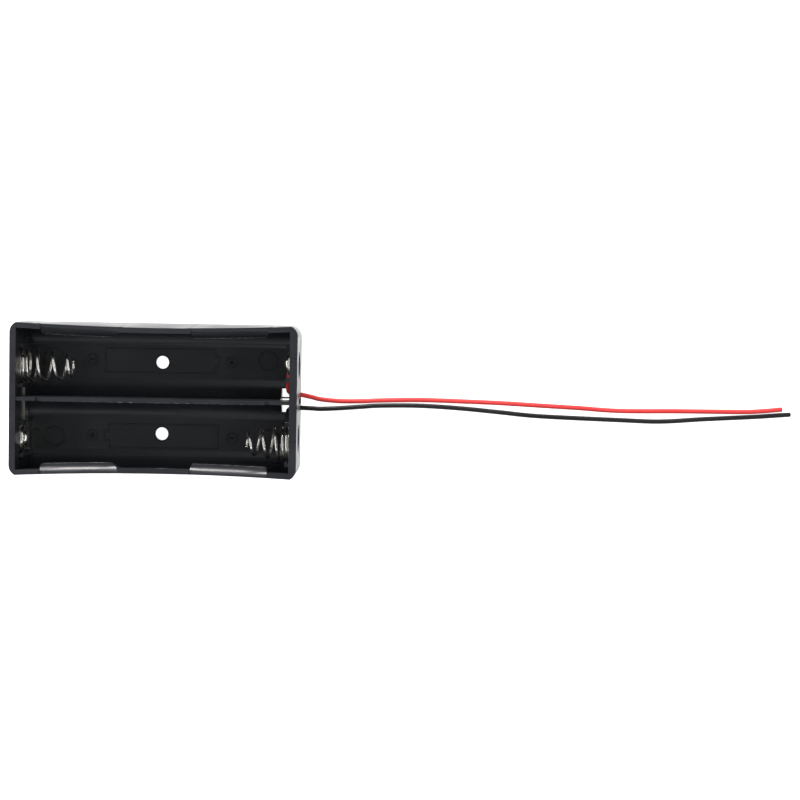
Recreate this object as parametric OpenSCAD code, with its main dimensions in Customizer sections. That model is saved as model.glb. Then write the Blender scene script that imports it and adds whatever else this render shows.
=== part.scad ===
// Open holder for two cylindrical cells side by side, with spring and plate contacts and two leads.
// The bays run along X, the leads leave at +X, and the origin is on the base under the middle.

/* [Cells] */
// Diameter of the cell that each bay holds
cell_d = 18.4; // [17.6:0.1:19.4]
// Length of the cell that each bay holds
cell_length = 65; // [60:0.5:72]
// Side play left round the cell in its bay
cell_play = 0.6; // [0.3:0.05:0.8]
// Length left beyond the cell for the contacts at both ends
contact_room = 8.7; // [7.8:0.1:10]

/* [Housing] */
// Overall height of the housing
height = 20; // [18.5:0.5:24]
// Thickness of the floor under the cells
floor_t = 1.8; // [1.4:0.1:2.4]
// Thickness of the two long walls at the rim
long_wall = 1.45; // [1.1:0.05:1.8]
// Thickness of the end wall without leads
left_wall = 1.7; // [1.4:0.1:2.4]
// Thickness of the end wall that the leads leave through
right_wall = 2.1; // [1.5:0.1:2.6]
// Thickness of the rib between the two bays
divider = 1; // [0.9:0.1:1.8]
// How far the rib's ends step down from the rim
divider_step = 0.3; // [0.1:0.1:1]
// Length of the stepped part at each end of the rib
divider_step_length = 6.4; // [4:0.2:9]
// Width of the notch where the step begins
divider_notch_w = 1.1; // [0.6:0.1:2]
// Depth of that notch below the rim
divider_notch = 1.1; // [1:0.1:2.5]
// Radius of the four upright outer corners
corner_r = 3; // [1.5:0.25:5]
// Radius between the floor and the walls of a bay
bay_r = 5; // [2:0.5:7]
// How far the long walls' rims draw in at mid length, beyond their draw at the ends
bow = 0.9; // [0.4:0.1:1.6]
// How far the long walls' rims draw in at the ends
end_draw = 0.4; // [0.1:0.1:0.8]

/* [Retaining lips] */
// How far a lip's edge stands in from the wall's outer face
lip_reach = 2.9; // [2.5:0.05:3.2]
// Drop from the rim to the outer edge of a lip's top
lip_outer_drop = 0.8; // [0.3:0.1:1.6]
// Drop from the rim to the end of the slope that guides a cell in
lip_guide_drop = 1.6; // [1.2:0.1:2]
// Drop from the rim to a lip's sharp inner edge
lip_edge_drop = 3.2; // [2.4:0.1:4.5]
// Drop from the rim to the foot of a lip's underside
lip_foot_drop = 6; // [5:0.1:8]
// Width of the nearly flat strip along a lip's outer edge
lip_flat = 0.95; // [0.5:0.05:1.1]
// Width of the guiding slope inside that strip
lip_guide = 1.15; // [0.6:0.05:1.2]
// Length of the full height block at the left end of each long wall
left_block = 8.2; // [7:0.1:12]
// Length of the full height block at the right end of each long wall
right_block = 7.9; // [5:0.1:10]
// Length of the tab between the two lips of a wall
tab_length = 19.4; // [12:0.2:26]
// How far the tab sits off the middle, towards +X
tab_shift = 0.2; // [-1:0.1:1]
// How far the left lips' ends at the tab run back towards their sharp edge
lip_slant = 2.2; // [0.4:0.1:4]
// How far both ends of the right lips run back towards their sharp edge
lip_short_slant = 0.5; // [0.2:0.1:2]
// Radius of the outer corners of the blocks and the tab, in plan
tab_r = 1.2; // [0.4:0.1:1.3]

/* [Screw holes] */
// Diameter of the screw hole in each bay's floor
screw_hole_d = 3.6; // [2.5:0.1:3.8]
// Diameter of the countersink round each screw hole
countersink_d = 4.4; // [3.8:0.1:7]
// Depth of the countersink
countersink_depth = 0.4; // [0.2:0.05:1.3]

/* [Contacts] */
// Height of the contacts' centre above the base
contact_z = 10.5; // [9.5:0.1:12]
// How far the series link sits off the bays' axes, towards -Y
link_shift = 1.1; // [-1:0.1:1.2]
// How far the positive terminal sits off its bay's axis, towards -Y
positive_shift = -0.5; // [-1:0.1:1]
// How far the negative terminal sits off its bay's axis, towards -Y
negative_shift = 1.5; // [-1:0.1:1.6]
// Thickness of the contact plates
plate_t = 0.4; // [0.3:0.05:0.6]
// Width of a plate with a boss, which is also its round top's diameter
boss_plate_w = 8; // [7.6:0.1:9]
// Width of a plate that carries a spring, which is also its round top's diameter
spring_plate_w = 10; // [9.6:0.1:10.6]
// Height of the plates' feet above the floor
plate_foot = 0.7; // [0.6:0.1:1.5]
// Play left round a contact plate in its seat
plate_play = 0.1; // [0.05:0.05:0.2]
// Diameter of the low round step under the boss
saucer_d = 6.8; // [6:0.1:7.2]
// Height of that step above its plate
saucer_h = 0.5; // [0.2:0.1:0.7]
// Diameter of the raised boss that touches a cell's positive end
boss_d = 4.2; // [3:0.1:5]
// Height of that boss above its plate
boss_h = 1.45; // [1:0.05:2]
// Height of the strap that joins the two plates at the left end
strap_h = 4.3; // [3:0.1:6]
// Height of the strap's lower edge above the base
strap_z = 5.4; // [4:0.1:7]
// Width of a guide post beside a contact plate
post_w = 0.9; // [0.7:0.1:1.4]
// How far a guide post stands out of its end wall
post_depth = 1.3; // [1.1:0.1:1.8]
// How far a post's lip reaches over the plate's edge
post_lip = 0.2; // [0.1:0.05:0.3]
// Diameter of the round window behind each contact plate
window_d = 7.6; // [4:0.1:7.6]

/* [Springs] */
// Diameter of the spring wire
wire_d = 0.85; // [0.6:0.05:1]
// Outer diameter of a spring at its base
spring_base_d = 9.4; // [8:0.1:9.6]
// Outer diameter of a spring at its tip
spring_tip_d = 5.8; // [4.5:0.1:7]
// Free length of the spring on the series link
link_spring_length = 13.4; // [11:0.1:16]
// Free length of the spring on the negative terminal
negative_spring_length = 12.3; // [10:0.1:14]

/* [Leads] */
// Outer diameter of a lead
lead_d = 1.3; // [1:0.05:1.6]
// Play left round the leads where they leave the housing
lead_play = 0.3; // [0.2:0.05:0.6]
// Width of the gap under the end wall that the leads pass through
exit_w = 5.8; // [5.6:0.1:7]
// Width of the upright slot above that gap
exit_slot_w = 1.6; // [1:0.1:2.4]
// Height of the upright slot
exit_slot_h = 10.4; // [6:0.1:14]
// Length along the housing of the floor opening inside that end wall
hatch_l = 3.1; // [2:0.1:4]
// Width of the floor opening
hatch_w = 6.6; // [6.6:0.1:8]
// Width of the thin bar that crosses the floor opening
hatch_bar = 0.4; // [0.3:0.1:0.8]
// Diameter of a solder joint where it sits on its plate
solder_d = 2.4; // [1.8:0.1:3]

/* [Hidden] */
$fn = 64;
BIG_FN = 1440;
ROUND_EDGE_FN = 20;
CUT = 0.01;
OVER = 1;
BELOW = -1;
LIP_FALL = 0.1;

bay_w = cell_d + cell_play;
bay_l = cell_length + contact_room;
length = bay_l + left_wall + right_wall;
width = 2 * bay_w + divider + 2 * long_wall;
bay_y = (bay_w + divider) / 2;
left_face = left_wall - length / 2;
right_face = length / 2 - right_wall;

// the drawn in walls are turned about far axes that lean inwards
bow_run = length / 2 - corner_r;
bow_r = bow_run * bow_run / (2 * bow);
lean = atan((bow + end_draw) / height);

lip_left_start = left_block - length / 2;
lip_right_end = length / 2 - right_block;
tab_start = tab_shift - tab_length / 2;
tab_end = tab_start + tab_length;

slot_h = strap_h + 2 * plate_play;
slot_z = strap_z - plate_play;
post_rise = 1;
hatch_x = right_face - hatch_l;
bar_y = divider / 2 + hatch_bar / 2;
exit_h = lead_d + lead_play;
solder_in = solder_d / 2 + plate_play;
solder_z = floor_t + plate_foot + solder_d / 2 + 0.3;
solder_h = 1.3;

// Routes of the two leads, from the solder joints to the cut ends, with X counted from the right end
RED_ROUTE = [
    [-3.2, 7.7, 4], [-3.25, 6.6, 4], [-3.3, 5.3, 3.8], [-3.4, 4.2, 3.55], [-3.4, 3.4, 3.4], [-3.3, 2.7, 2.9],
    [-3.2, 2.4, 1.8], [-2.8, 2, 1], [-1.8, 1.8, 0.7], [0.5, 1.5, 0.65], [3.4, 0.9, 0.65], [5.6, 0.4, 0.65],
    [11, 0, 0.65], [17, 0.1, 0.65], [22.5, 0.4, 0.65], [33.5, 0.7, 0.65], [45, 0.5, 0.65],
    [56, 0.2, 0.65], [67, -0.3, 0.65], [78, -0.8, 0.65], [89.5, -1.4, 0.65], [106, -1.2, 0.65],
    [123, -1.1, 0.65], [129, -0.8, 0.65], [134.8, -0.2, 0.65]
];
BLACK_ROUTE = [
    [-3.2, -7.9, 4], [-3.25, -6.9, 4], [-3.3, -5.6, 3.8], [-3.4, -4.4, 3.55], [-3.4, -3.6, 3.4],
    [-3.3, -2.85, 2.95], [-3.2, -2.6, 1.9], [-2.8, -2.3, 1], [-1.8, -2.1, 0.7], [0.5, -2.1, 0.65],
    [3.4, -2.2, 0.65], [5.6, -2.3, 0.65], [11, -2, 0.65], [17, -1.5, 0.65], [22.5, -1.1, 0.65],
    [33.5, -0.95, 0.65], [45, -1.5, 0.65], [56, -2.4, 0.65], [67, -3.3, 0.65], [89.5, -4, 0.65],
    [100.8, -4.2, 0.65], [112, -3.4, 0.65], [123, -2.7, 0.65], [129, -2.3, 0.65], [137.2, -1.6, 0.65]
];
RINGS_PER_SPAN = 1.5;
LEAD_SIDES = 8;

// share of each spring's free length that the wire has climbed at its second, third and fourth whole turn
LINK_COIL_RISE = [0.338, 0.66, 0.935];
NEGATIVE_COIL_RISE = [0.27, 0.545, 0.84];
// climb of the closed coil at the base, in wire diameters
CLOSED_RISE = 1.25;
BASE_TURN = -1.1;
TIP_TURN = 3.6;
RINGS_PER_TURN = 22;
WIRE_SIDES = 8;

// value of a smooth curve through the list's values at a position counted in list steps
function smooth_at(list, position) =
    let (last = len(list) - 1,
         i = max(0, min(last - 1, floor(position))),
         t = position - i,
         a = list[max(0, i - 1)], b = list[i], c = list[i + 1], d = list[min(last, i + 2)])
    b + (c - a) * t / 2 + (2 * a - 5 * b + 4 * c - d) * t * t / 2
      + (3 * b - a - 3 * c + d) * t * t * t / 2;

function unit(v) = v / norm(v);

// ring of points round a path point, square to the path; no path runs along [1, 1, 1]
function ring(centre, along, radius, sides) =
    let (side = unit(cross([1, 1, 1], along)), up = cross(along, side))
    [for (k = [0 : sides - 1]) let (a = 360 * (k + 0.5) / sides)
        centre + radius * (cos(a) * side + sin(a) * up)];

// closed tube through rings of equal size
module skin(rings, sides) {
    last = len(rings) - 1;
    points = [for (r = rings) for (p = r) p];
    walls = [for (i = [0 : last - 1]) for (k = [0 : sides - 1]) let (m = (k + 1) % sides)
        [i * sides + k, i * sides + m, (i + 1) * sides + m, (i + 1) * sides + k]];
    start = [[for (k = [sides - 1 : -1 : 0]) k]];
    end = [[for (k = [0 : sides - 1]) last * sides + k]];
    polyhedron(points, concat(walls, start, end));
}

// 2D shapes drawn in Y and Z become bars along X
module along_x(from, to) {
    translate([from, 0, 0])
        rotate([90, 0, 90])
            linear_extrude(to - from)
                children();
}

// both sides of the housing, the +Y one first
module both_sides() {
    children();
    mirror([0, 1, 0])
        children();
}

module rounded_rectangle(size, r) {
    square([size[0] - 2 * r, size[1]], center = true);
    square([size[0], size[1] - 2 * r], center = true);
    for (x = [-1, 1], y = [-1, 1])
        translate([x * (size[0] / 2 - r), y * (size[1] / 2 - r)])
            circle(r);
}

// section of a bay: upright walls, rounded into a flat floor
module bay_section() {
    translate([-bay_w / 2, floor_t + bay_r])
        square([bay_w, height]);
    translate([bay_r - bay_w / 2, floor_t])
        square([bay_w - 2 * bay_r, height]);
    for (side = [-1, 1])
        translate([side * (bay_w / 2 - bay_r), floor_t + bay_r])
            circle(bay_r);
}

// turns a section about the far leaning axis of the +Y wall; X is the depth in from the outer face
module turned_wall() {
    translate([0, width / 2, 0])
        rotate([lean, 0, 0])
            translate([0, bow_r, 0])
                rotate_extrude($fn = BIG_FN)
                    translate([bow_r, 0])
                        children();
}

module wall_block(inner_depth) {
    translate([-length / 2, width / 2 - inner_depth, 0])
        cube([length, inner_depth, height]);
}

// place of the +Y wall's outer face at the rim
function rim_y(x) = width / 2 - end_draw - bow + bow * pow(x / bow_run, 2);

// plan of one lip of the +Y wall, whose ends run back by the given lengths
module lip_plan(start, end, start_slant, end_slant) {
    outer = width / 2 + OVER;
    edge = width / 2 - end_draw - bow - lip_reach;
    polygon([[start, outer], [end, outer], [end, rim_y(end) - tab_r], [end - end_slant, edge],
             [end - end_slant, edge - OVER], [start + start_slant, edge - OVER],
             [start + start_slant, edge], [start, rim_y(start) - tab_r]]);
}

module lip_plans() {
    lip_plan(lip_left_start, tab_start, 0, lip_slant);
    lip_plan(tab_end, lip_right_end, lip_short_slant, lip_short_slant);
}

// rounds a block's outer corner, which lies at x and faces +X or, with side -1, -X
module corner_cut(x, side) {
    translate([x, rim_y(x)])
        difference() {
            translate([side > 0 ? -tab_r : 0, -tab_r])
                square([tab_r, tab_r + OVER]);
            translate([-side * tab_r, -tab_r])
                circle(tab_r);
        }
}

module lip_zone() {
    translate([0, 0, height - lip_foot_drop])
        linear_extrude(lip_foot_drop)
            lip_plans();
}

// drawn in wall with its two sharp edged retaining lips, on the +Y side
module bowed_wall() {
    intersection() {
        wall_block(long_wall + bow + end_draw + CUT);
        turned_wall()
            translate([0, -height])
                square([long_wall, 3 * height]);
    }
    intersection() {
        lip_zone();
        turned_wall()
            polygon([[long_wall / 2, height - lip_foot_drop], [long_wall, height - lip_foot_drop],
                     [lip_reach, height - lip_edge_drop], [lip_reach, height], [long_wall / 2, height]]);
    }
}

// what is cut off the outside of the +Y wall and off the tops of its lips
module bowed_wall_cut() {
    intersection() {
        translate([-length / 2 - OVER, width / 2 - bow - end_draw - OVER, BELOW])
            cube([length + 2 * OVER, bow + end_draw + 2 * OVER, height + 2 * OVER]);
        translate([0, width / 2, 0])
            rotate([lean, 0, 0])
                translate([0, bow_r, -height])
                    cylinder(r = bow_r, h = 3 * height, $fn = BIG_FN);
    }
    intersection() {
        translate([0, 0, height - lip_foot_drop])
            linear_extrude(lip_foot_drop + OVER)
                lip_plans();
        turned_wall()
            polygon([[-2 * bow, height - lip_outer_drop + LIP_FALL],
                     [0, height - lip_outer_drop + LIP_FALL],
                     [lip_flat, height - lip_outer_drop - LIP_FALL],
                     [lip_flat + lip_guide, height - lip_guide_drop],
                     [lip_reach, height - lip_edge_drop], [2 * lip_reach, height - lip_edge_drop],
                     [2 * lip_reach, height + 2], [-2 * bow, height + 2]]);
    }
    translate([0, 0, height - lip_outer_drop])
        linear_extrude(lip_outer_drop + OVER) {
            corner_cut(lip_left_start, 1);
            corner_cut(tab_start, -1);
            corner_cut(tab_end, 1);
            corner_cut(lip_right_end, -1);
        }
}

// guide posts that hold a contact plate against an end wall, at x = 0 and facing +X
module plate_posts(plate_w, inner_side) {
    slit = plate_w / 2 + plate_play;
    top = contact_z + plate_w / 2 + post_rise;
    for (side = [-1, 1]) {
        foot = side == inner_side ? slot_z + slot_h + 0.5 : floor_t / 2;
        translate([-CUT, side > 0 ? slit : -slit - post_w, foot])
            cube([post_depth + CUT, post_w, top - foot]);
        translate([plate_t + plate_play, side > 0 ? slit - plate_play - post_lip : -slit - post_w / 2, foot])
            cube([post_depth - plate_t - plate_play, post_lip + plate_play + post_w / 2, top - foot]);
    }
}

module left_posts() {
    translate([left_face, bay_y - link_shift, 0])
        plate_posts(spring_plate_w, -1);
    translate([left_face, -bay_y - link_shift, 0])
        plate_posts(boss_plate_w, 1);
}

module right_posts() {
    translate([right_face, -bay_y - negative_shift, 0])
        rotate([0, 0, 180])
            plate_posts(spring_plate_w, -1);
    translate([right_face, bay_y - positive_shift, 0])
        rotate([0, 0, 180])
            plate_posts(boss_plate_w, 1);
}

module screw_hole() {
    translate([0, 0, BELOW])
        cylinder(d = screw_hole_d, h = floor_t + 2 * OVER);
    translate([0, 0, floor_t - countersink_depth])
        cylinder(d1 = screw_hole_d, d2 = countersink_d, h = countersink_depth);
}

module end_windows() {
    for (y = [-bay_y, bay_y])
        translate([-length / 2 - OVER, y, contact_z])
            rotate([0, 90, 0])
                cylinder(d = window_d, h = length + 2 * OVER);
}

// opening in the floor beside the right end wall, crossed by one thin bar
module hatch() {
    difference() {
        translate([hatch_x, -hatch_w / 2, BELOW])
            cube([hatch_l, hatch_w, exit_slot_h - BELOW]);
        translate([hatch_x - OVER, bar_y - hatch_bar / 2, BELOW])
            cube([hatch_l + 2 * OVER, hatch_bar, floor_t - BELOW]);
    }
}

module lead_exit() {
    translate([right_face - CUT, -exit_w / 2, BELOW])
        cube([right_wall + OVER, exit_w, exit_h - BELOW]);
    translate([right_face - CUT, -exit_slot_w / 2, BELOW])
        cube([right_wall + OVER, exit_slot_w, exit_slot_h - BELOW]);
}

module divider_cuts() {
    for (x = [left_face, right_face - divider_step_length])
        translate([x, -divider, height - divider_step])
            cube([divider_step_length, 2 * divider, divider_step + OVER]);
    for (x = [left_face + divider_step_length - divider_notch_w, right_face - divider_step_length])
        translate([x, -divider, height - divider_notch])
            cube([divider_notch_w, 2 * divider, divider_notch + OVER]);
    translate([left_face, -divider, slot_z])
        cube([plate_t + 4 * plate_play, 2 * divider, slot_h]);
}

module housing() {
    color([0.07, 0.07, 0.08])
        difference() {
            union() {
                difference() {
                    linear_extrude(height)
                        rounded_rectangle([length, width], corner_r);
                    for (y = [-bay_y, bay_y])
                        translate([0, y, 0])
                            along_x(left_face, right_face)
                                bay_section();
                }
                intersection() {
                    linear_extrude(height)
                        rounded_rectangle([length, width], corner_r);
                    both_sides()
                        bowed_wall();
                }
                left_posts();
                right_posts();
            }
            both_sides()
                bowed_wall_cut();
            for (y = [-bay_y, bay_y])
                translate([0, y, 0])
                    screw_hole();
            end_windows();
            hatch();
            lead_exit();
            divider_cuts();
        }
}

// outline of a contact plate in Y and Z, with a round top and a straight foot
module plate_outline(plate_w) {
    foot = floor_t + plate_foot;
    translate([0, contact_z])
        circle(d = plate_w);
    translate([-plate_w / 2, foot])
        square([plate_w, contact_z - foot]);
}

// half section of a pressed round step, with its outer edge rounded
module step_section(r, h) {
    edge = min(r, h) / 2;
    square([r - edge, h]);
    square([r, h - edge]);
    translate([r - edge, h - edge])
        intersection() {
            circle(edge, $fn = ROUND_EDGE_FN);
            square(edge);
        }
}

// boss on its low step, pressed out of a plate, with the open back at x = 0
module pressed_boss(shrink) {
    translate([0, 0, contact_z])
        rotate([0, 90, 0])
            rotate_extrude() {
                step_section(saucer_d / 2 - shrink, saucer_h + plate_t - shrink);
                step_section(boss_d / 2 - shrink, boss_h + plate_t - shrink);
            }
}

module boss_plate() {
    difference() {
        union() {
            along_x(0, plate_t)
                plate_outline(boss_plate_w);
            pressed_boss(0);
        }
        translate([-CUT, 0, 0])
            pressed_boss(plate_t);
    }
}

module spring_plate() {
    along_x(0, plate_t)
        plate_outline(spring_plate_w);
}

module series_link() {
    strap_start = boss_plate_w / 2 - bay_y;
    strap_end = bay_y - spring_plate_w / 2;
    color([0.82, 0.81, 0.78])
        translate([left_face, -link_shift, 0]) {
            translate([0, -bay_y, 0])
                boss_plate();
            translate([0, bay_y, 0])
                spring_plate();
            translate([0, strap_start - CUT, strap_z])
                cube([plate_t, strap_end - strap_start + 2 * CUT, strap_h]);
        }
}

module positive_terminal() {
    color([0.82, 0.81, 0.78])
        translate([right_face, bay_y - positive_shift, 0])
            mirror([1, 0, 0])
                boss_plate();
}

module negative_terminal() {
    color([0.82, 0.81, 0.78])
        translate([right_face, -bay_y - negative_shift, 0])
            mirror([1, 0, 0])
                spring_plate();
}

// tapered coil that stands on x = 0 and runs along +X
module coil_spring(free_length, shares) {
    base_r = (spring_base_d - wire_d) / 2;
    tip_r = (spring_tip_d - wire_d) / 2;
    first = wire_d / 2 + CUT;
    last = free_length - wire_d / 2;
    rise = concat([first, first + CLOSED_RISE * wire_d], shares * free_length, [last]);
    turns = TIP_TURN - BASE_TURN;
    count = ceil(turns * RINGS_PER_TURN);
    marks = [BASE_TURN, 0, 1, 2, 3, TIP_TURN];
    function climb(turn) =
        let (i = turn < 0 ? 0 : min(4, 1 + floor(turn)))
        max(first, min(last, smooth_at(rise, i + (turn - marks[i]) / (marks[i + 1] - marks[i]))));
    function coil_point(turn) =
        let (r = base_r + (tip_r - base_r) * pow(max(0, turn) / TIP_TURN, 2))
        [climb(turn), -r * sin(360 * turn), r * cos(360 * turn)];
    rings = [for (i = [0 : count])
        let (turn = BASE_TURN + turns * i / count,
             here = coil_point(turn),
             along = unit(coil_point(turn + 0.01) - coil_point(turn - 0.01)),
             out = unit([0, here[1], here[2]]),
             across = unit(cross(along, out)),
             outward = cross(across, along))
        [for (k = [0 : WIRE_SIDES - 1]) let (a = 360 * k / WIRE_SIDES)
            here + wire_d / 2 * (cos(a) * outward + sin(a) * across)]];
    skin(rings, WIRE_SIDES);
}

module link_spring() {
    color([0.85, 0.84, 0.82])
        translate([left_face + plate_t, bay_y - link_shift, contact_z])
            coil_spring(link_spring_length, LINK_COIL_RISE);
}

module negative_spring() {
    color([0.85, 0.84, 0.82])
        translate([right_face - plate_t, -bay_y - negative_shift, contact_z])
            rotate([0, 0, 180])
                coil_spring(negative_spring_length, NEGATIVE_COIL_RISE);
}

// low dome of solder on a plate's face
module solder_joint(y) {
    translate([right_face - plate_t, y, solder_z])
        rotate([0, -90, 0])
            intersection() {
                translate([0, 0, solder_h - solder_d / 2])
                    sphere(d = solder_d);
                cylinder(d = 2 * solder_d, h = solder_d);
            }
}

module positive_solder() {
    color([0.7, 0.7, 0.7])
        solder_joint(bay_y - positive_shift - boss_plate_w / 2 + solder_in);
}

module negative_solder() {
    color([0.7, 0.7, 0.7])
        solder_joint(-bay_y - negative_shift + spring_plate_w / 2 - solder_in);
}

module lead(route) {
    spans = len(route) - 1;
    count = round(spans * RINGS_PER_SPAN);
    step = spans / count;
    rings = [for (i = [0 : count])
        let (here = smooth_at(route, i * step),
             ahead = smooth_at(route, min(spans, i * step + 0.05)),
             behind = smooth_at(route, max(0, i * step - 0.05)))
        ring(here, unit(ahead - behind), lead_d / 2, LEAD_SIDES)];
    translate([length / 2, 0, 0])
        skin(rings, LEAD_SIDES);
}

module red_lead() {
    color([0.8, 0.16, 0.16])
        lead(RED_ROUTE);
}

module black_lead() {
    color([0.08, 0.08, 0.09])
        lead(BLACK_ROUTE);
}

housing();
series_link();
positive_terminal();
negative_terminal();
link_spring();
negative_spring();
positive_solder();
negative_solder();
red_lead();
black_lead();
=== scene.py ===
"""Looks of the open holder for two cylindrical cells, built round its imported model."""
import math

import bpy
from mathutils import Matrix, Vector, noise


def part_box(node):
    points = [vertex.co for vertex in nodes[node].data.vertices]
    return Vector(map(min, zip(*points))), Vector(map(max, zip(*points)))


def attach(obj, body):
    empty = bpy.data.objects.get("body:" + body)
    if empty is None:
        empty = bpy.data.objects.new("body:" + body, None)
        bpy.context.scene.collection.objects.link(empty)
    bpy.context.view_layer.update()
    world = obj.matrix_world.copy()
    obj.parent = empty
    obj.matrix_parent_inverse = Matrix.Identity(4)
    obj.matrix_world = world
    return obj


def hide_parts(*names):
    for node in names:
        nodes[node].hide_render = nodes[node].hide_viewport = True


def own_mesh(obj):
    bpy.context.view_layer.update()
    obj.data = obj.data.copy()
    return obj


MM = 0.001

# ---------------------------------------------------------------- frame

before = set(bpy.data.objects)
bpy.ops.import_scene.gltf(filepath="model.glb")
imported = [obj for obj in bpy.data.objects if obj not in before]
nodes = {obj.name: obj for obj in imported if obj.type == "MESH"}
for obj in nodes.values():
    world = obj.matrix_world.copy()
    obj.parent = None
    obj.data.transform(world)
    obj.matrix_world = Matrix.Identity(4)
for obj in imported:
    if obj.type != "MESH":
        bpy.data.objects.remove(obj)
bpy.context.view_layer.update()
housing_low, housing_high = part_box("housing")
HEIGHT = housing_high[2]
LENGTH = housing_high[0] - housing_low[0]
WIDTH = housing_high[1] - housing_low[1]
LEADS_X = housing_high[0]
FLOOR_Z = 1.8 * MM
BAY_Y = 10 * MM


# ---------------------------------------------------------------- small helpers

def smooth_at(points, position):
    """Point of a smooth curve through the points, at a position counted in points."""
    last = len(points) - 1
    i = max(0, min(last - 1, int(math.floor(position))))
    t = position - i
    a, b, c, d = (Vector(points[max(0, min(last, i + k))]) for k in (-1, 0, 1, 2))
    return (b + (c - a) * t / 2 + (2 * a - 5 * b + 4 * c - d) * t * t / 2
            + (3 * b - a - 3 * c + d) * t ** 3 / 2)


def new_mesh(name, verts, faces, smooth=False):
    """A mesh object of the given points and faces, in the scene."""
    mesh = bpy.data.meshes.new(name)
    mesh.from_pydata([tuple(v) for v in verts], [], faces)
    mesh.validate()
    for polygon in mesh.polygons:
        polygon.use_smooth = smooth
    piece = bpy.data.objects.new(name, mesh)
    bpy.context.collection.objects.link(piece)
    return piece


def ring_frames(path):
    """Position, side and up at each point of a path, turned as little as possible along it."""
    last = len(path) - 1
    tangents = [(path[min(i + 1, last)] - path[max(i - 1, 0)]).normalized() for i in range(last + 1)]
    side = tangents[0].orthogonal().normalized()
    frames = []
    for point, tangent in zip(path, tangents):
        side = (side - tangent * side.dot(tangent)).normalized()
        frames.append((point, side, tangent.cross(side)))
    return frames


def tube(name, path, radius_at, sides=16):
    """Closed round tube along a path; radius_at gives the radius at a share of the path."""
    verts, faces = [], []
    frames = ring_frames(path)
    last = len(frames) - 1
    for i, (point, side, up) in enumerate(frames):
        r = radius_at(i / last)
        for k in range(sides):
            a = math.tau * k / sides
            verts.append(point + r * (math.cos(a) * side + math.sin(a) * up))
    for i in range(last):
        for k in range(sides):
            m = (k + 1) % sides
            faces.append((i * sides + k, i * sides + m, (i + 1) * sides + m, (i + 1) * sides + k))
    faces.append(tuple(reversed(range(sides))))
    faces.append(tuple(last * sides + k for k in range(sides)))
    piece = new_mesh(name, verts, faces, smooth=True)
    for polygon in piece.data.polygons[-2:]:
        polygon.use_smooth = False
    return piece


def paint(piece, material):
    piece.data.materials.clear()
    piece.data.materials.append(material)


# ---------------------------------------------------------------- materials

def set_stops(ramp, stops):
    """Gives a colour ramp node its stops, each a position and a colour."""
    elements = ramp.color_ramp.elements
    while len(elements) < len(stops):
        elements.new(0.5)
    for element, (position, colour) in zip(elements, stops):
        element.position = position
        element.color = (*colour, 1)


class Shader:
    """A node material with short calls for the nodes that these looks need."""

    def __init__(self, name):
        self.material = bpy.data.materials.new(name)
        self.material.use_nodes = True
        self.tree = self.material.node_tree
        self.surface = self.tree.nodes["Principled BSDF"]
        self.place = self.tree.nodes.new("ShaderNodeTexCoord").outputs["Object"]

    def node(self, kind, **values):
        """A new node with its properties or, where it has none of that name, its inputs set."""
        made = self.tree.nodes.new(kind)
        for key, value in values.items():
            if hasattr(made, key):
                setattr(made, key, value)
            else:
                made.inputs[key].default_value = value
        return made

    def link(self, output, target):
        self.tree.links.new(output, target)

    def put(self, value, target):
        """Links a node's output to a socket, or sets a plain value there."""
        if hasattr(value, "is_linked"):
            self.link(value, target)
        else:
            target.default_value = value

    def noise(self, scale, detail=4.0, stretch=(1, 1, 1)):
        mapping = self.node("ShaderNodeMapping")
        mapping.inputs["Scale"].default_value = stretch
        self.link(self.place, mapping.inputs["Vector"])
        texture = self.node("ShaderNodeTexNoise", Scale=scale, Detail=detail)
        self.link(mapping.outputs["Vector"], texture.inputs["Vector"])
        return texture.outputs["Fac"]

    def ramp(self, factor, stops):
        ramp = self.node("ShaderNodeValToRGB")
        set_stops(ramp, stops)
        self.link(factor, ramp.inputs["Fac"])
        return ramp.outputs["Color"]

    def grey_ramp(self, factor, stops):
        return self.ramp(factor, [(position, (v, v, v)) for position, v in stops])

    def bump(self, height, strength, distance, before=None):
        bump = self.node("ShaderNodeBump", Strength=strength, Distance=distance)
        self.link(height, bump.inputs["Height"])
        if before is not None:
            self.link(before, bump.inputs["Normal"])
        return bump.outputs["Normal"]

    def maths(self, operation, first, second):
        made = self.node("ShaderNodeMath", operation=operation)
        self.put(first, made.inputs[0])
        self.put(second, made.inputs[1])
        return made.outputs["Value"]

    def set(self, **values):
        """Sets the surface's inputs and returns the finished material."""
        for key, value in values.items():
            self.put(value, self.surface.inputs[key.replace("_", " ")])
        return self.material


def housing_plastic():
    """Black moulded plastic: fine satin grain, faint flow marks and light scuffs."""
    s = Shader("housing_plastic")
    colour = s.ramp(s.noise(60, 3), [(0.3, (0.017, 0.0185, 0.022)), (0.7, (0.0215, 0.0232, 0.027))])
    rough = s.grey_ramp(s.noise(220, 5, (0.35, 1, 1)), [(0.35, 0.27), (0.65, 0.38)])
    grain = s.bump(s.noise(6000, 2), 0.12, 0.00004)
    flow = s.bump(s.noise(180, 2, (0.4, 1, 1)), 0.1, 0.0002, grain)
    return s.set(Base_Color=colour, Roughness=rough, Normal=flow, IOR=1.5)


def flash_plastic():
    """The ragged skin along a parting edge, painted paler than the moulding as a painted highlight along the
    edge.
    """
    s = Shader("flash_plastic")
    colour = s.ramp(s.noise(900, 3), [(0.35, (0.05, 0.05, 0.052)), (0.65, (0.22, 0.22, 0.22))])
    return s.set(Base_Color=colour, Roughness=0.5, IOR=1.5)


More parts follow.
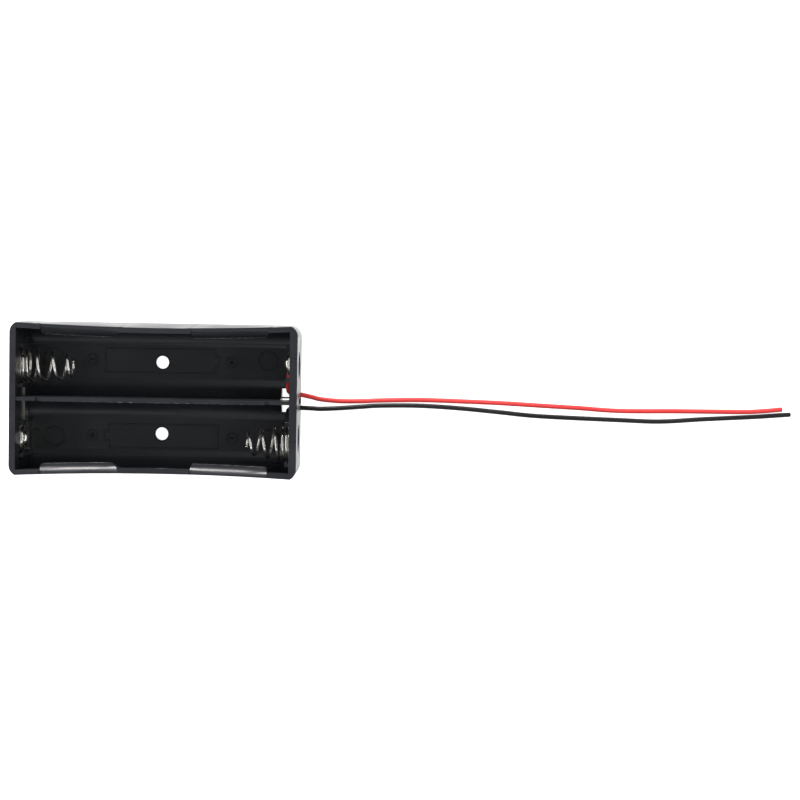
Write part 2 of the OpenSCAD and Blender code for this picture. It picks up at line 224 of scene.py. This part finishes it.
def nickel_plate():
    """Bright nickel plating with handling marks, and warm patches that are a painted golden reflection."""
    s = Shader("nickel_plate")
    # warm patches in the colour: a painted golden reflection
    colour = s.ramp(s.noise(400, 4), [(0.35, (0.78, 0.72, 0.6)), (0.6, (0.88, 0.86, 0.82))])
    rough = s.grey_ramp(s.noise(700, 5, (1, 0.3, 1)), [(0.3, 0.14), (0.7, 0.26)])
    marks = s.bump(s.noise(2500, 3, (1, 0.15, 1)), 0.15, 0.00003)
    return s.set(Base_Color=colour, Roughness=rough, Normal=marks, Metallic=1.0)


def spring_wire():
    """Plated spring wire with fine drawing lines."""
    s = Shader("spring_wire")
    colour = s.ramp(s.noise(500, 3), [(0.3, (0.80, 0.78, 0.74)), (0.7, (0.92, 0.90, 0.87))])
    rough = s.grey_ramp(s.noise(1800, 3), [(0.3, 0.16), (0.7, 0.26)])
    lines = s.bump(s.noise(5000, 2, (0.2, 1, 1)), 0.1, 0.00002)
    return s.set(Base_Color=colour, Roughness=rough, Normal=lines, Metallic=1.0)


def solder_metal():
    """Solder with a skin that set unevenly, dull in places."""
    s = Shader("solder_metal")
    colour = s.ramp(s.noise(900, 3), [(0.3, (0.5, 0.5, 0.5)), (0.7, (0.72, 0.72, 0.73))])
    rough = s.grey_ramp(s.noise(1500, 4), [(0.3, 0.2), (0.7, 0.45)])
    skin = s.bump(s.noise(1800, 3), 0.3, 0.00006)
    return s.set(Base_Color=colour, Roughness=rough, Normal=skin, Metallic=1.0)


def copper_strand():
    """Bare copper of a cut lead, uneven in tone."""
    s = Shader("copper_strand")
    colour = s.ramp(s.noise(2500, 2), [(0.3, (0.62, 0.36, 0.2)), (0.7, (0.8, 0.62, 0.48))])
    rough = s.grey_ramp(s.noise(3000, 3), [(0.3, 0.25), (0.7, 0.4)])
    return s.set(Base_Color=colour, Roughness=rough, Metallic=1.0)


def insulation(name, dark, light):
    """Soft PVC insulation: satin skin with slight draw lines and an uneven tone."""
    s = Shader(name)
    colour = s.ramp(s.noise(150, 4, (0.3, 1, 1)), [(0.35, dark), (0.65, light)])
    rough = s.grey_ramp(s.noise(900, 4, (0.2, 1, 1)), [(0.3, 0.32), (0.7, 0.46)])
    skin = s.bump(s.noise(2200, 3, (0.15, 1, 1)), 0.12, 0.00005)
    return s.set(Base_Color=colour, Roughness=rough, Normal=skin, IOR=1.35)


plastic = housing_plastic()
flash_painted_highlight = flash_plastic()
nickel = nickel_plate()
wire = spring_wire()
solder = solder_metal()
copper = copper_strand()
red_pvc = insulation("red_insulation", (0.78, 0.052, 0.05), (0.88, 0.07, 0.066))
black_pvc = insulation("black_insulation", (0.010, 0.010, 0.011), (0.018, 0.018, 0.019))

# ---------------------------------------------------------------- leads

LEAD_D = 1.3 * MM
STRAND_R = 0.12 * MM
STRAND_RING_R = 0.27 * MM
STRAND_STANDOUT = 0.12 * MM
# routes in mm, from the solder joints to the cut ends, with X counted from the housing's right end
RED_ROUTE = [
    (-3.2, 7.7, 4), (-3.25, 6.6, 4), (-3.3, 5.3, 3.8), (-3.4, 4.2, 3.55), (-3.4, 3.4, 3.4),
    (-3.3, 2.7, 2.9), (-3.2, 2.4, 1.8), (-2.8, 2, 1), (-1.8, 1.8, 0.7), (0.5, 1.5, 0.65),
    (3.4, 0.9, 0.65), (5.6, 0.4, 0.65), (11, 0, 0.65), (17, 0.1, 0.65), (22.5, 0.4, 0.65),
    (33.5, 0.7, 0.65), (45, 0.5, 0.65), (56, 0.2, 0.65), (67, -0.3, 0.65), (78, -0.8, 0.65),
    (89.5, -1.4, 0.65), (106, -1.2, 0.65), (123, -1.1, 0.65), (129, -0.8, 0.65), (134.8, -0.2, 0.65)
]
BLACK_ROUTE = [
    (-3.2, -7.9, 4), (-3.25, -6.9, 4), (-3.3, -5.6, 3.8), (-3.4, -4.4, 3.55), (-3.4, -3.6, 3.4),
    (-3.3, -2.85, 2.95), (-3.2, -2.6, 1.9), (-2.8, -2.3, 1), (-1.8, -2.1, 0.7), (0.5, -2.1, 0.65),
    (3.4, -2.2, 0.65), (5.6, -2.3, 0.65), (11, -2, 0.65), (17, -1.5, 0.65), (22.5, -1.1, 0.65),
    (33.5, -0.95, 0.65), (45, -1.5, 0.65), (56, -2.4, 0.65), (67, -3.3, 0.65), (89.5, -4, 0.65),
    (100.8, -4.2, 0.65), (112, -3.4, 0.65), (123, -2.7, 0.65), (129, -2.3, 0.65), (137.2, -1.6, 0.65)
]


def route_points(route, per_span=6):
    spans = len(route) - 1
    base = Vector((LEADS_X, 0, 0))
    return [base + MM * smooth_at(route, i / per_span) for i in range(spans * per_span + 1)]


def strands(name, centre, along, sides=10):
    """The cut ends of a lead's seven strands, standing just proud of the insulation."""
    along = along.normalized()
    side = along.orthogonal().normalized()
    up = along.cross(side)
    ring = [math.tau * k / 6 for k in range(6)]
    spots = [Vector((0, 0))] + [Vector((math.cos(a), math.sin(a))) * STRAND_RING_R for a in ring]
    verts, faces = [], []
    for n, spot in enumerate(spots):
        foot = centre + side * spot.x + up * spot.y
        reach = STRAND_STANDOUT * (1 + 0.3 * math.sin(5 * n + 1))
        start = len(verts)
        for end in (foot - along * STRAND_STANDOUT, foot + along * reach):
            for k in range(sides):
                a = math.tau * k / sides
                verts.append(end + STRAND_R * (math.cos(a) * side + math.sin(a) * up))
        for k in range(sides):
            m = (k + 1) % sides
            faces.append((start + k, start + m, start + sides + m, start + sides + k))
        faces.append(tuple(start + sides + k for k in range(sides)))
        faces.append(tuple(start + k for k in reversed(range(sides))))
    piece = new_mesh(name, verts, faces)
    paint(piece, copper)
    return piece


def lead(name, route, material):
    """A lead's insulation along its route, with the bare strands at its cut end."""
    path = route_points(route)
    piece = tube(name + "_insulation", path, lambda share: LEAD_D / 2, sides=20)
    paint(piece, material)
    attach(piece, "holder")
    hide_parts(name)
    end = strands(name + "_strands", path[-1], path[-1] - path[-2])
    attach(end, "holder")


lead("red_lead", RED_ROUTE, red_pvc)
lead("black_lead", BLACK_ROUTE, black_pvc)

# ---------------------------------------------------------------- springs

WIRE_D = 0.85 * MM
SPRING_BASE_D = 9.4 * MM
SPRING_TIP_D = 5.8 * MM
PLATE_T = 0.4 * MM
CONTACT_Z = 10.5 * MM
# the springs' axes lie beside the bays' axes, a little towards -Y
SPRING_Y = {"link_spring": BAY_Y - 1.1 * MM, "negative_spring": -BAY_Y - 1.5 * MM}
# share of the free length that the wire has climbed at its second, third and fourth whole turn
COIL_RISE = {"link_spring": (0.338, 0.66, 0.935), "negative_spring": (0.27, 0.545, 0.84)}
# climb of the closed coil at the base, in wire diameters
CLOSED_RISE = 1.25
BASE_TURN = -1.1
TIP_TURN = 3.6


def coil_path(free_length, shares, per_turn=40):
    """Centre line of a tapered coil that stands on x = 0 and runs along +X."""
    first, last = WIRE_D / 2, free_length - WIRE_D / 2
    marks = [BASE_TURN, 0, 1, 2, 3, TIP_TURN]
    rise = [first, first + CLOSED_RISE * WIRE_D] + [share * free_length for share in shares] + [last]
    base_r, tip_r = (SPRING_BASE_D - WIRE_D) / 2, (SPRING_TIP_D - WIRE_D) / 2
    path = []
    count = math.ceil((TIP_TURN - BASE_TURN) * per_turn)
    for n in range(count + 1):
        turn = BASE_TURN + (TIP_TURN - BASE_TURN) * n / count
        i = 0 if turn < 0 else min(len(marks) - 2, 1 + int(turn))
        position = i + (turn - marks[i]) / (marks[i + 1] - marks[i])
        climb = smooth_at([(value, 0, 0) for value in rise], position).x
        r = base_r + (tip_r - base_r) * (max(0, turn) / TIP_TURN) ** 2
        a = math.tau * turn
        path.append(Vector((max(first, min(last, climb)), -r * math.sin(a), r * math.cos(a))))
    return path


def spring(node, facing, plate_x):
    """A wire spring that stands on its plate at plate_x and reaches as far as its spring node."""
    low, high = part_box(node)
    length = abs((high[0] if facing > 0 else low[0]) - plate_x)
    centre = Vector((plate_x, SPRING_Y[node], CONTACT_Z))
    path = []
    for point in coil_path(length, COIL_RISE[node]):
        path.append(centre + Vector((facing * point.x, facing * point.y, point.z)))
    piece = tube(node + "_wire", path, lambda share: WIRE_D / 2, sides=14)
    paint(piece, wire)
    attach(piece, "holder")
    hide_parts(node)
    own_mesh(piece)


spring("link_spring", 1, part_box("series_link")[0][0] + PLATE_T)
spring("negative_spring", -1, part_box("negative_terminal")[0][0])

# ---------------------------------------------------------------- raised marks on the bays' floors

MARK_H = 0.2 * MM
MARK_W = 0.42 * MM
MARK_FLANK = 0.1 * MM
SUNK = 0.02 * MM
# plan places and sizes in mm; a cell runs along X, and its facing is the side of its positive nub
CELL_HALF_W, NUB_HALF_W = 3.3, 1.3
SIGN_R, SIGN_HALF_LENGTH, SIGN_HALF_W = 1.45, 0.62, 0.05
MINUS_PLACES = ((-19.5, 10.55), (19.65, -10.9))
PLUS_PLACES = ((19.3, 10.3), (-19.45, -10.75))
PIN_MARKS = ((-30.3, 10.7, 2.7), (-29.9, -11.1, 2.7), (29.5, 10.9, 2.6), (30.2, -10.9, 2.6))


def offset_loop(points, distance):
    """The closed plan outline moved to its left by a distance, with mitred corners."""
    moved = []
    count = len(points)
    for i, point in enumerate(points):
        before = (point - points[i - 1]).normalized()
        after = (points[(i + 1) % count] - point).normalized()
        left = Vector((-before.y - after.y, before.x + after.x))
        moved.append(point + left * distance / (1 + before.dot(after)))
    return moved


def ridge(verts, faces, outline):
    """Adds a low raised line that follows a closed plan outline on the bays' floor."""
    count = len(outline)
    start = len(verts)
    half = MARK_W / 2
    section = [(-half, -SUNK), (MARK_FLANK - half, MARK_H), (half - MARK_FLANK, MARK_H), (half, -SUNK)]
    for offset, rise in section:
        for point in offset_loop(outline, offset):
            verts.append((point.x, point.y, FLOOR_Z + rise))
    for row in range(len(section) - 1):
        for i in range(count):
            j = (i + 1) % count
            low, high = start + row * count, start + (row + 1) * count
            faces.append((low + i, low + j, high + j, high + i))


def bar_outline(x, y, half_x, half_y):
    corners = ((-1, -1), (1, -1), (1, 1), (-1, 1))
    return [Vector((x + half_x * a, y + half_y * b)) * MM for a, b in corners]


def round_outline(x, y, r, sides=40):
    return [Vector((x + r * math.cos(a), y + r * math.sin(a))) * MM
            for a in (math.tau * k / sides for k in range(sides))]


def cell_outline(x0, x1, y, nub, facing):
    """A plain cell seen from the side: its body, with the positive nub at the end it faces."""
    half, nub_half = CELL_HALF_W, NUB_HALF_W
    points = [(x0, y - half), (x1, y - half), (x1, y - nub_half), (x1 + nub, y - nub_half),
              (x1 + nub, y + nub_half), (x1, y + nub_half), (x1, y + half), (x0, y + half)]
    if facing < 0:
        points = [(x0 + x1 - px, 2 * y - py) for px, py in points]
    return [Vector(point) * MM for point in points]


def floor_marks():
    """Cell outlines, polarity signs in their rings, and the round marks of the ejector pins."""
    verts, faces = [], []
    ridge(verts, faces, cell_outline(-15.9, 14.8, 10.45, 1.1, 1))
    ridge(verts, faces, cell_outline(-14.75, 15.7, -10.7, 1.3, -1))
    for x, y in MINUS_PLACES + PLUS_PLACES:
        ridge(verts, faces, round_outline(x, y, SIGN_R))
        ridge(verts, faces, bar_outline(x, y, SIGN_HALF_LENGTH, SIGN_HALF_W))
    for x, y in PLUS_PLACES:
        ridge(verts, faces, bar_outline(x, y, SIGN_HALF_W, SIGN_HALF_LENGTH))
    for x, y, r in PIN_MARKS:
        ridge(verts, faces, round_outline(x, y, r, 56))
    piece = new_mesh("floor_marks", verts, faces)
    paint(piece, plastic)
    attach(piece, "holder")


floor_marks()

# ---------------------------------------------------------------- mould flash

CORNER_R = 3 * MM
BOW, END_DRAW = 0.9 * MM, 0.4 * MM
BOW_RUN = LENGTH / 2 - CORNER_R
LEAN = (BOW + END_DRAW) / HEIGHT
LIP_REACH, LIP_EDGE_DROP = 2.9 * MM, 3.2 * MM
RIB_HALF = 0.5 * MM
# stretches of flash along X: start and end in mm, and the number of steps
LEFT_LIP = (-29.9, -11.9, 70)
RIGHT_LIP = (10.6, 30.1, 76)
RIB_TOP = (-30.4, 29.8, 200)
LIP_FLASH_R, RIB_FLASH_R, RIB_FLASH_DROP = 0.07 * MM, 0.06 * MM, 0.05 * MM
# the line of flash wanders by this much, over about a millimetre
FLASH_WANDER, FLASH_WANDER_SCALE = 0.05 * MM, 900
# noise starts from the clock unless it is seeded, and the flash would differ each run
FLASH_SEED = 1


def lip_edge(x, side):
    """Point of the retaining lips' inner edge at x, on the +Y side or, with side -1, the -Y side."""
    rim = WIDTH / 2 - END_DRAW - BOW * (1 - (x / BOW_RUN) ** 2)
    return Vector((x, side * (rim + LIP_EDGE_DROP * LEAN - LIP_REACH), HEIGHT - LIP_EDGE_DROP))


def flash(name, line, radius):
    """A thin ragged line of flash, as the mould leaves it along a parting edge."""
    count = len(line)
    path = []
    for point in line:
        wander = noise.noise_vector(point * FLASH_WANDER_SCALE) * FLASH_WANDER
        path.append(point + Vector((0, wander.y, 0.4 * wander.z)))

    def ragged(share):
        return radius * (0.45 + 0.55 * abs(math.sin(count * 0.37 * share)) * math.sin(math.pi * share) ** 0.2)

    piece = tube(name, path, ragged, sides=6)
    # painted pale: a painted highlight along the parting edge
    paint(piece, flash_painted_highlight)
    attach(piece, "holder")


def steps(start, end, count):
    return [(start + (end - start) * i / count) * MM for i in range(count + 1)]


noise.seed_set(FLASH_SEED)
for side, name in ((1, "upper"), (-1, "lower")):
    flash(name + "_left_lip_flash", [lip_edge(x, side) for x in steps(*LEFT_LIP)], LIP_FLASH_R)
    flash(name + "_right_lip_flash", [lip_edge(x, side) for x in steps(*RIGHT_LIP)], LIP_FLASH_R)
rib_edge = [Vector((x, -RIB_HALF, HEIGHT - RIB_FLASH_DROP)) for x in steps(*RIB_TOP)]
flash("divider_flash", rib_edge, RIB_FLASH_R)

# ---------------------------------------------------------------- CAD nodes

MOULDED_EDGE = 0.1 * MM
PRESSED_EDGE = 0.16 * MM


def soften(piece, width, segments, angle):
    """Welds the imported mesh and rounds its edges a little, as moulding and pressing leave them."""
    weld = piece.modifiers.new("weld", "WELD")
    weld.merge_threshold = 0.001 * MM
    bevel = piece.modifiers.new("edges", "BEVEL")
    bevel.width = width
    bevel.segments = segments
    bevel.limit_method = "ANGLE"
    bevel.angle_limit = math.radians(angle)


paint(nodes["housing"], plastic)
soften(nodes["housing"], MOULDED_EDGE, 2, 35)
for name in ("series_link", "positive_terminal", "negative_terminal"):
    paint(nodes[name], nickel)
    soften(nodes[name], PRESSED_EDGE, 3, 50)
for name in ("positive_solder", "negative_solder"):
    paint(nodes[name], solder)

# ---------------------------------------------------------------- floor, light and camera

FLOOR_HALF = 3
FLOOR_GAP = 0.02 * MM
# the painted shadow on the floor in the gap under the end wall between the leads, in plan: its centre and its
# half sizes
SLOT_CENTRE = (LEADS_X - 1.05 * MM, -0.4 * MM)
SLOT_HALF = (1.06 * MM, 1.3 * MM)
# the first colour is the painted shadow in that gap, the second the plain floor
PAINTED_SHADOW, PAPER = (0.02, 0.02, 0.02), (0.82, 0.82, 0.82)
# brightness of the world by how far a direction points along X
TENT = [(0.05, 0.18), (0.2, 0.45), (0.45, 0.8), (0.75, 1.0), (0.95, 0.5)]
TENT_TINT = (0.95, 0.98, 1)
TENT_STRENGTH = 0.62


def studio_floor():
    """A pale floor that keeps the shadows, and is white to the camera and in reflections, with a painted
    shadow in the gap between the leads.
    """
    half = FLOOR_HALF
    corners = [(-half, -half, 0), (half, -half, 0), (half, half, 0), (-half, half, 0)]
    floor = new_mesh("studio_floor", corners, [(0, 1, 2, 3)])
    floor.location.z = -FLOOR_GAP
    s = Shader("studio_floor")
    rays = s.node("ShaderNodeLightPath").outputs
    seen = s.maths("MAXIMUM", rays["Is Camera Ray"], rays["Is Glossy Ray"])
    seen = s.maths("MAXIMUM", seen, rays["Is Transmission Ray"])
    # the floor is painted dark, and does not glow, in the gap between the leads: a painted shadow of the
    # housing there
    place = s.node("ShaderNodeSeparateXYZ")
    s.link(s.place, place.inputs["Vector"])
    shares = []
    for axis, centre, reach in zip("XY", SLOT_CENTRE, SLOT_HALF):
        distance = s.maths("ABSOLUTE", s.maths("SUBTRACT", place.outputs[axis], centre), 0)
        shares.append(s.maths("DIVIDE", distance, reach))
    outside_painted_shadow = s.maths("GREATER_THAN", s.maths("MAXIMUM", *shares), 1)
    paint(floor, s.set(Base_Color=s.ramp(outside_painted_shadow, [(0, PAINTED_SHADOW), (1, PAPER)]), Roughness=0.9,
                       Emission_Color=(1, 1, 1, 1),
                       Emission_Strength=s.maths("MULTIPLY", seen, outside_painted_shadow)))


def light_tent():
    """A world that is bright towards both ends of the bays, and dim overhead and along the long sides."""
    world = bpy.data.worlds.new("studio")
    bpy.context.scene.world = world
    world.use_nodes = True
    tree = world.node_tree
    direction = tree.nodes.new("ShaderNodeTexCoord").outputs["Generated"]
    axes = tree.nodes.new("ShaderNodeSeparateXYZ")
    to_end = tree.nodes.new("ShaderNodeMath")
    to_end.operation = "ABSOLUTE"
    levels = tree.nodes.new("ShaderNodeValToRGB")
    set_stops(levels, [(along, tuple(level * tint for tint in TENT_TINT)) for along, level in TENT])
    background = tree.nodes["Background"]
    background.inputs["Strength"].default_value = TENT_STRENGTH
    tree.links.new(direction, axes.inputs["Vector"])
    tree.links.new(axes.outputs["X"], to_end.inputs[0])
    tree.links.new(to_end.outputs["Value"], levels.inputs["Fac"])
    tree.links.new(levels.outputs["Color"], background.inputs["Color"])


def area_light(name, place, size, radiance, colour=(1, 1, 1)):
    """A soft box of the given size and even brightness, facing the holder."""
    data = bpy.data.lights.new(name, "AREA")
    data.shape = "RECTANGLE"
    data.size, data.size_y = size
    data.energy = radiance * math.pi * size[0] * size[1]
    data.color = colour
    lamp = bpy.data.objects.new(name, data)
    bpy.context.collection.objects.link(lamp)
    lamp.location = place
    lamp.rotation_euler = (Vector((0, 0, 0)) - Vector(place)).to_track_quat("-Z", "Y").to_euler()


def add_camera():
    """Looks down on the holder and its leads from about half a metre, slightly tilted and turned."""
    data = bpy.data.cameras.new("camera")
    data.sensor_width = 36
    data.lens = 78.5115
    data.clip_end = 10
    camera = bpy.data.objects.new("camera", data)
    bpy.context.collection.objects.link(camera)
    camera.location = (0.06614, 0.02236, 0.489)
    camera.rotation_euler = (math.radians(-2.553), 0, math.radians(1))
    bpy.context.scene.camera = camera
    bpy.context.scene.view_settings.view_transform = "Standard"


studio_floor()
light_tent()
area_light("back_softbox", (-0.229, 0.796, 0.352), (0.55, 0.25), 30, (1, 0.955, 0.96))
area_light("front_softbox", (0.05, -0.62, 0.85), (0.8, 0.3), 1, (0.86, 0.94, 1))
# long narrow strips across both ends, which draw crisp lines on the spring wire
area_light("left_strip", (-0.58, 0, 0.66), (1.5, 0.11), 3.8)
area_light("right_strip", (0.62, 0, 0.64), (1.5, 0.11), 3.8)
add_camera()

bpy.context.view_layer.update()
